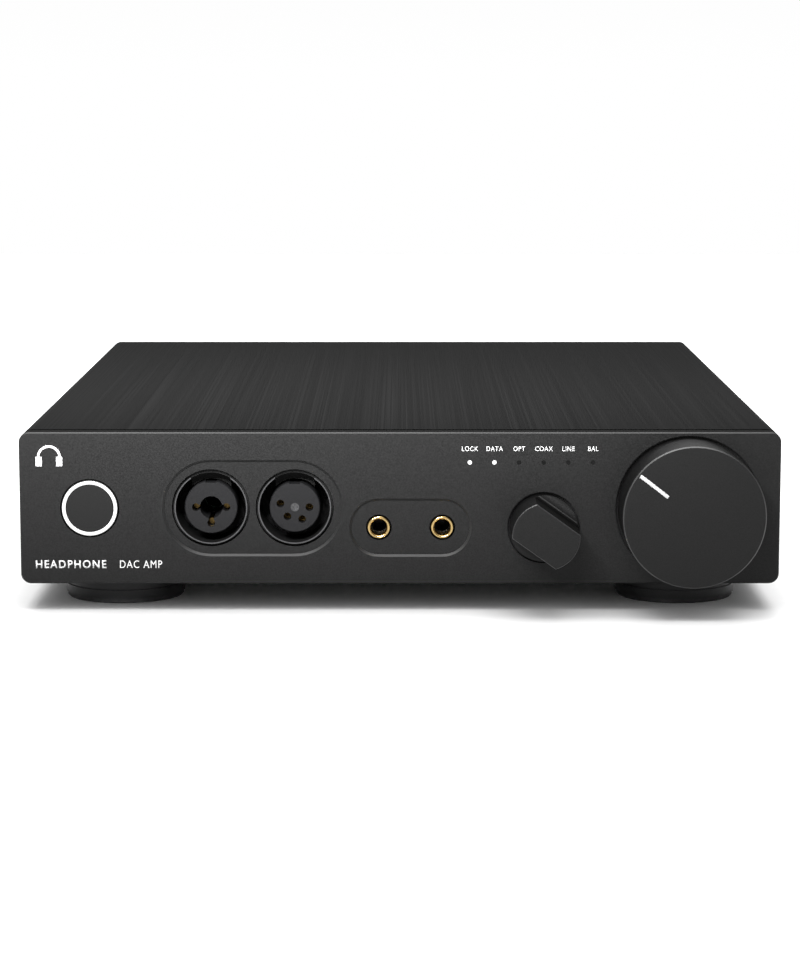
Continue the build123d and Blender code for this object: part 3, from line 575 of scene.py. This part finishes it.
class AMPLIFIER_OT_lights(bpy.types.Operator):
    """Lights the power ring and two lamps, and fills the volume knob's pointer"""

    bl_idname = "amplifier.lights"
    bl_label = "Light the lamps"

    def execute(self, context):
        colours = context.scene.amplifier_colours
        opal = lit_diffuser(colours.light, 0.85)
        dress(opal, "lit_lamps")
        # the light guide is moulded between two black skins, so its edge stays crisp
        low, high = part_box("power_ring_light")
        skin, wall, sunk, steps = 0.25 * MM, 1.0 * MM, 0.05 * MM, 128
        middle = ((low[0] + high[0]) / 2, (low[2] + high[2]) / 2)
        outer = (high[2] - low[2]) / 2 - skin
        inner = outer - wall
        front, back = low[1], high[1]
        guide = place(
            "power_light_guide", turned([middle], band(inner, outer, front, back), steps), opal,
            "case",
        )
        skins = join_meshes("skins", [
            turned([middle], band(a, b, front + sunk, back), steps)
            for a, b in ((inner - skin, inner), (outer, outer + skin))
        ])
        # PBT, moulded: flat black that stops the light at the guide's walls
        black = plastic("pbt_moulded_skin", "0a0a0a", (0.6, 0.7), shine=0.1)
        place("power_light_skins", skins, black, "case")
        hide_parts("power_ring_light")
        # enamel, flowed into a milled groove: pale and slightly soft
        dress(plastic("enamel_filled_groove", "909090", (0.35, 0.5), 1.0, 0.004), "volume_pointer")
        # smoked acrylic, moulded: nearly black while no lamp shines through it
        smoked = plastic(
            "acrylic_smoked_unlit", "050505", (0.3, 0.4), 1.0, 0.002, ior=1.49, shine=0.1
        )
        dress(smoked, "unlit_lamps")
        return {"FINISHED"}


class AMPLIFIER_OT_headphone_sockets(bpy.types.Operator):
    """Finishes the two round sockets, and adds the raised numbers beside their contacts"""

    bl_idname = "amplifier.headphone_sockets"
    bl_label = "Finish the round sockets"

    def execute(self, context):
        colours = context.scene.amplifier_colours
        sizes = context.scene.amplifier_sizes
        nylon = moulded_nylon(colours.moulded)
        dress(nylon, "combo_insert", "four_pole_insert")
        # PBT, moulded black, made deeper black and nearly without shine as painted shade, so the
        # slots round the inserts read as empty
        dress(plastic("pbt_moulded_shells_painted_shade", "0a0a0a", (0.6, 0.7), shine=0.1), "headphone_shells")
        # zinc die casting, nickel plated: a grey mirror softened by the casting
        dress(metal("nickel_plated_zinc", "525253", (0.28, 0.38)), "socket_rims", "four_pole_screw")
        # bronze, gold plated: painted shade darkens it to a dull brown, standing in for the shade
        # deep in its holes
        dress(metal("gold_plated_bronze_painted_shade", "4a3c22", (0.2, 0.3)), "headphone_contacts")
        # each number, and its place from the socket's middle in millimetres
        marks = {
            "combo_jack": (("1", -6.6, -0.1), ("2", 6.4, -0.1), ("3", 2.9, -6.1)),
            "four_pole_socket": (
                ("1", -6.2, 0.6), ("4", 5.4, 1.7), ("2", -3.8, -5.7), ("3", 4.0, -5.5),
            ),
        }
        sunk, height = 0.01 * MM, 0.11 * MM
        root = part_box("combo_insert")[0][1] + sunk
        for socket, numbers in marks.items():
            middle = MOUNTS[socket]
            meshes = [
                lettering(
                    number, sizes.numeral, (middle.x + x * MM, root, middle.z + z * MM), height
                )
                for number, x, z in numbers
            ]
            place(f"{socket}_numbers", join_meshes(socket, meshes), nylon, "case")
        return {"FINISHED"}


class AMPLIFIER_OT_small_jacks(bpy.types.Operator):
    """Finishes the two small jacks"""

    bl_idname = "amplifier.small_jacks"
    bl_label = "Finish the small jacks"

    def execute(self, context):
        # brass, turned and gold plated: the rounded lip mirrors the lights as bright arcs
        brass = metal("gold_plated_brass", "b39a68", (0.16, 0.24))
        low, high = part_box("jack_collars")
        outer = (high[2] - low[2]) / 2
        mid_z = (high[2] + low[2]) / 2
        centres = [(low[0] + outer, mid_z), (high[0] - outer, mid_z)]
        collar_wall, lip, sink = 1.0 * MM, 0.42 * MM, 0.45 * MM
        inner = outer - collar_wall
        front, back = low[1], high[1]
        rounded = arc(outer - lip, front + lip, lip, 0, -90, 8)
        countersunk = [(inner + sink, front), (inner, front + sink)]
        profile = [(inner, back), (outer, back), *rounded, *countersunk]
        bezels = place("jack_bezels", turned(centres, profile), brass, "case")
        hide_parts("jack_collars")
        # PBT, moulded: brown-black with a low gloss
        dress(plastic("pbt_moulded_jacks", "26251f", (0.35, 0.5)), "jack_barrels")
        return {"FINISHED"}


class AMPLIFIER_OT_front_marks(bpy.types.Operator):
    """Prints the lamp names, the headphone sign and the title on the front panel"""

    bl_idname = "amplifier.front_marks"
    bl_label = "Print the front marks"

    def execute(self, context):
        sizes = context.scene.amplifier_sizes
        ink = screen_ink(context.scene.amplifier_colours.print_ink)
        root = PANEL_FACE + MARK_ROOT
        # marks are placed from the panel's left edge and from the power button's middle
        left = CAD_BOX[0][0]
        button_low, button_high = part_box("power_button")
        middle = (button_low[2] + button_high[2]) / 2
        names_rise, sign_rise, title_drop = 17.0 * MM, 15.2 * MM, 17.84 * MM
        title_inset, second_inset, sign_inset = 4.3 * MM, 29.1 * MM, 8.85 * MM

        names = ("LOCK", "DATA", "OPT", "COAX", "LINE", "BAL")
        lit_low, lit_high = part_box("lit_lamps")
        unlit_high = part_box("unlit_lamps")[1]
        lamp_radius = (lit_high[2] - lit_low[2]) / 2
        first = lit_low[0] + lamp_radius
        pitch = (unlit_high[0] - lamp_radius - first) / (len(names) - 1)
        meshes = [
            lettering(
                name, sizes.lamp_letters, (first + pitch * i, root, middle + names_rise), sizes.ink,
                narrow=0.84, spacing=1.15,
            )
            for i, name in enumerate(names)
        ]
        place("lamp_names", join_meshes("lamp_names", meshes), ink, "case")

        line = middle - title_drop
        title = [
            lettering(
                "HEADPHONE", sizes.title_letters, (left + title_inset, root, line), sizes.ink,
                align="LEFT", weight=0.02, narrow=0.93, spacing=1.22,
            ),
            lettering(
                "DAC AMP", sizes.title_letters, (left + second_inset, root, line), sizes.ink,
                align="LEFT", narrow=0.80, spacing=1.15,
            ),
        ]
        place("title", join_meshes("title", title), ink, "case")

        sign = self.headphone_sign(left + sign_inset, middle + sign_rise)
        place("headphone_sign", prism(sign, root, root - sizes.ink), ink, "case")
        return {"FINISHED"}

    @staticmethod
    def headphone_sign(x, z):
        """Outlines of a plain headphone sign: a headband over two ear cups."""
        outer, inner = 3.5 * MM, 2.8 * MM
        headband = arc(x, z, outer, 0, 180, 28) + arc(x, z, inner, 180, 0, 28)
        cup_inside, cup_outside, cup_drop, cup_rise = 2.1 * MM, 3.9 * MM, 2.7 * MM, 0.1 * MM
        low, high = z - cup_drop, z + cup_rise
        cups = []
        for side in (-1, 1):
            near, far = x + side * cup_inside, x + side * cup_outside
            cups.append([(near, low), (far, low), (far, high), (near, high)])
        return [headband, *cups]


class AMPLIFIER_OT_feet(bpy.types.Operator):
    """Finishes the feet and their rubber pads"""

    bl_idname = "amplifier.feet"
    bl_label = "Finish the feet"

    def execute(self, context):
        # ABS, moulded in a fine-eroded tool: black with a soft, low gloss
        dress(
            plastic("abs_moulded_foot", "161617", (0.38, 0.5), 0.8, 0.008, shine=0.25),
            "foot_rings",
        )
        # rubber, moulded and dusty: no shine, an uneven grey bloom
        dress(plastic("rubber_moulded", "1a1a1b", (0.7, 0.9), 1.2, 0.03, 1.52), "foot_pads")
        return {"FINISHED"}


class AMPLIFIER_OT_rear_sockets(bpy.types.Operator):
    """Finishes the sockets and the tabs on the rear panel"""

    bl_idname = "amplifier.rear_sockets"
    bl_label = "Finish the rear sockets"

    def execute(self, context):
        nylon = bpy.data.materials["nylon_moulded"]
        dress(
            nylon, "input_inserts", "mains_inlet", "optical_socket", "optical_flap",
            "release_tab_left", "release_tab_right",
        )
        dress(plain_black_plating(linear("38383a")), "input_shells", "output_shells")
        # bronze, gold plated: a warm yellow mirror
        gold = metal("gold_plated_bronze", "d9b56c", (0.15, 0.25))
        dress(gold, "phono_barrels", "input_contacts", "output_pins")
        # steel, nickel plated: a clean pale mirror
        dress(metal("nickel_plated_steel", "b9b9ba", (0.2, 0.3)), "mains_pins", "data_socket")
        # PTFE, moulded: waxy off-white
        dress(plastic("ptfe_moulded_white", "d9d8d2", (0.4, 0.5)), "phono_cores", "data_tongue")
        return {"FINISHED"}


class AMPLIFIER_OT_rear_marks(bpy.types.Operator):
    """Prints the socket names on the rear panel"""

    bl_idname = "amplifier.rear_marks"
    bl_label = "Print the rear marks"

    def execute(self, context):
        sizes = context.scene.amplifier_sizes
        ink = bpy.data.materials["epoxy_ink_screen_printed"]
        root = REAR_FACE - MARK_ROOT
        rise = 16.9 * MM
        line = MOUNTS["mains_socket"].z + rise
        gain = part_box("gain_knob")
        gain_x = (gain[0][0] + gain[1][0]) / 2
        inputs = (MOUNTS["balanced_input_left"].x + MOUNTS["balanced_input_right"].x) / 2
        outputs = (MOUNTS["balanced_output_left"].x + MOUNTS["balanced_output_right"].x) / 2
        names = [
            ("MAINS", MOUNTS["mains_socket"].x), ("DATA", MOUNTS["data_port"].x),
            ("OPTICAL", MOUNTS["optical_port"].x), ("COAX", MOUNTS["coax_socket"].x),
            ("GAIN", gain_x), ("LINE", MOUNTS["line_socket_low"].x),
            ("BALANCED IN", inputs), ("BALANCED OUT", outputs),
        ]
        meshes = [
            lettering(
                name, sizes.rear_letters, (x, root, line), sizes.ink,
                rear=True, weight=0.01, narrow=0.86,
            )
            for name, x in names
        ]
        place("rear_names", join_meshes("rear_names", meshes), ink, "case")
        return {"FINISHED"}


class AMPLIFIER_OT_fasteners(bpy.types.Operator):
    """Finishes the screws and the spacers"""

    bl_idname = "amplifier.fasteners"
    bl_label = "Finish the fasteners"

    def execute(self, context):
        # steel, black oxide: a dark grey, half-dull metal
        dress(
            metal("steel_black_oxide", "3a3a3c", (0.3, 0.45)), "case_screws", "cover_screws",
            "foot_screws", "socket_screws", "selector_set_screw", "volume_set_screw",
        )
        # steel, zinc plated: pale bluish grey
        dress(metal("steel_zinc_plated", "aeb0b2", (0.25, 0.35)), "board_screws")
        # brass, turned and left bare: warm yellow
        dress(metal("brass_turned", "c9a65c", (0.2, 0.3)), "board_spacers")
        return {"FINISHED"}


class AMPLIFIER_OT_inside(bpy.types.Operator):
    """Finishes the boards and the parts on them"""

    bl_idname = "amplifier.inside"
    bl_label = "Finish the inside"

    def execute(self, context):
        dress(solder_mask(), "main_board", "front_board", "power_board")
        # aluminium, extruded and anodised black: faint die lines along the fins
        dress(
            metal("anodised_aluminium_extruded", "3c3c3e", (0.35, 0.5), 0.4, (1, 1, 60)),
            "heatsinks",
        )
        # PVC, shrunk on with heat: glossy dark blue
        dress(plastic("pvc_shrink_sleeve", "22304a", (0.2, 0.3), 2.0), "capacitors")
        dress(wound_tape(), "transformer")
        dress(bpy.data.materials["nickel_plated_steel"], "shield_can", "transformer_clamp")
        return {"FINISHED"}


# Studio


KEY_LAMPS = 7                           # small spots in a ring: one wide light with a steep edge
KEY_MIDDLE = (-0.22, -0.98, 0.68)       # the middle of the ring, in front and above on the left
KEY_SPREAD = (0.20, 0.14)               # the ring's half width and half height
KEY_AIM = (-0.09, PANEL_FACE, 0.115)    # over the panel, so that its top is lit most
FLOOR_SIZE = 1.5
# sine of the height angle, and brightness: pale horizon, dim walls, bright ceiling
SKY_STEPS = ((0.0, 1.0), (0.2, 0.9), (0.4, 0.3), (0.7, 0.3), (0.88, 1.0), (1.0, 1.0))


def add_lamp(name, kind, power, **settings):
    """Adds a lamp of a kind and sets its light's own options."""
    light = bpy.data.lights.new(name, kind)
    light.energy = power
    for option, value in settings.items():
        setattr(light, option, value)
    lamp = bpy.data.objects.new(name, light)
    bpy.context.scene.collection.objects.link(lamp)
    return lamp


def aim(lamp, location, spot):
    """Puts a lamp in its place and points it at a spot."""
    lamp.location = location
    lamp.rotation_euler = (Vector(spot) - Vector(location)).to_track_quat("-Z", "Y").to_euler()


def link_light(lamp, thing, state):
    """Lets a lamp light one thing alone (INCLUDE), or everything but it (EXCLUDE)."""
    group = bpy.data.collections.new(f"{lamp.name}_group")
    group.objects.link(thing)
    group.collection_objects[0].light_linking.link_state = state
    lamp.light_linking.receiver_collection = group


def add_sky(scene, strength):
    """Surrounds the scene with a sky whose brightness changes only with height."""
    world = bpy.data.worlds.new("studio")
    scene.world = world
    world.use_nodes = True
    tree = world.node_tree
    where = add_node(tree, "ShaderNodeTexCoord")
    split = add_node(tree, "ShaderNodeSeparateXYZ", {"Vector": where.outputs["Generated"]})
    ramp = add_node(tree, "ShaderNodeValToRGB", {"Fac": split.outputs["Z"]})
    while len(ramp.color_ramp.elements) < len(SKY_STEPS):
        ramp.color_ramp.elements.new(0.5)
    for stop, (sine, level) in zip(ramp.color_ramp.elements, SKY_STEPS):
        stop.position = sine
        stop.color = (level, level, level, 1)
    fill(tree, tree.nodes["Background"], {"Color": ramp.outputs["Color"], "Strength": strength})


def add_floor(scene):
    """Lays the floor that the amplifier stands on."""
    shape = bmesh.new()
    bmesh.ops.create_grid(shape, x_segments=16, y_segments=16, size=FLOOR_SIZE)
    mesh = bpy.data.meshes.new("floor")
    shape.to_mesh(mesh)
    shape.free()
    floor = bpy.data.objects.new("floor", mesh)
    scene.collection.objects.link(floor)
    # seamless paper, calendered: dull white with the faintest mottle
    paper, tree, shader = new_material("paper_seamless", {"IOR": 1.4})
    vary(tree, shader, noise_field(tree, 8.0), linear("f6f6f6"), 0.01, (0.85, 0.95), 0.01)
    mesh.materials.append(paper)
    return floor


def add_camera(scene, studio):
    """Puts the camera in front of the panel, looking down a little."""
    camera = bpy.data.cameras.new("camera")
    camera.lens = studio.lens
    camera.clip_start = 0.01
    viewer = bpy.data.objects.new("camera", camera)
    viewer.location = (0, PANEL_FACE - studio.distance, studio.height)
    viewer.rotation_euler = (math.pi / 2 - studio.pitch, 0, 0)
    scene.collection.objects.link(viewer)
    scene.camera = viewer


class AMPLIFIER_OT_studio(bpy.types.Operator):
    """Makes the floor, the lights and the camera"""

    bl_idname = "amplifier.studio"
    bl_label = "Make the studio"

    def execute(self, context):
        scene = context.scene
        studio = scene.amplifier_studio
        scene.view_settings.view_transform = "Standard"
        add_sky(scene, studio.sky)
        floor = add_floor(scene)

        overhead = add_lamp(
            "overhead", "AREA", studio.top_power, shape="RECTANGLE", size=1.4, size_y=1.4
        )
        aim(overhead, (0, 0, 1.5), (0, 0, 0))
        rim = add_lamp("rim", "AREA", studio.rim_power, shape="RECTANGLE", size=1.0, size_y=0.4)
        aim(rim, (0, 0.75, 0.75), (0, PANEL_FACE, 0.05))

        x, y, z = KEY_MIDDLE
        for number in range(KEY_LAMPS):
            turn = 2 * math.pi * number / KEY_LAMPS
            lamp = add_lamp(
                f"key_{number}", "SPOT", studio.key_power / KEY_LAMPS,
                shadow_soft_size=0.05, spot_size=math.radians(10), spot_blend=1.0,
            )
            lamp.scale = (3.4, 1.0, 1.0)    # the beam is wide and flat, like the panel
            location = (x + KEY_SPREAD[0] * math.cos(turn), y, z + KEY_SPREAD[1] * math.sin(turn))
            aim(lamp, location, KEY_AIM)
            link_light(lamp, floor, "EXCLUDE")

        # a wide sun from above and a little in front, so the shadow on the floor is soft
        sun = add_lamp("floor_light", "SUN", studio.floor_power, angle=math.radians(95))
        sun.rotation_euler = (math.radians(28), 0, 0)
        link_light(sun, floor, "INCLUDE")

        add_camera(scene, studio)
        return {"FINISHED"}


class AMPLIFIER_PT_panel(bpy.types.Panel):
    """Lists the amplifier's settings and steps"""

    bl_idname = "AMPLIFIER_PT_panel"
    bl_label = "Headphone Amplifier"
    bl_space_type = "VIEW_3D"
    bl_region_type = "UI"
    bl_category = "Amplifier"

    def draw(self, context):
        for group_name in GROUPS:
            group = getattr(context.scene, group_name)
            box = self.layout.box()
            for name in group.bl_rna.properties.keys():
                if name not in {"rna_type", "name"}:
                    box.prop(group, name)
        for step in STEPS:
            self.layout.operator(step.bl_idname)


GROUPS = {
    "amplifier_colours": AmplifierColours,
    "amplifier_sizes": AmplifierSizes,
    "amplifier_studio": AmplifierStudio,
}
STEPS = (
    AMPLIFIER_OT_case,
    AMPLIFIER_OT_controls,
    AMPLIFIER_OT_lights,
    AMPLIFIER_OT_headphone_sockets,
    AMPLIFIER_OT_small_jacks,
    AMPLIFIER_OT_front_marks,
    AMPLIFIER_OT_feet,
    AMPLIFIER_OT_rear_sockets,
    AMPLIFIER_OT_rear_marks,
    AMPLIFIER_OT_fasteners,
    AMPLIFIER_OT_inside,
    AMPLIFIER_OT_studio,
)
CLASSES = (*GROUPS.values(), *STEPS, AMPLIFIER_PT_panel)


def register():
    for cls in CLASSES:
        bpy.utils.register_class(cls)
    for name, group in GROUPS.items():
        setattr(bpy.types.Scene, name, PointerProperty(type=group))


def unregister():
    for name in GROUPS:
        delattr(bpy.types.Scene, name)
    for cls in reversed(CLASSES):
        bpy.utils.unregister_class(cls)


def main():
    """Registers the classes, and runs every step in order."""
    register()
    for step in STEPS:
        group, name = step.bl_idname.split(".")
        getattr(getattr(bpy.ops, group), name)()


if __name__ == "__main__":
    main()
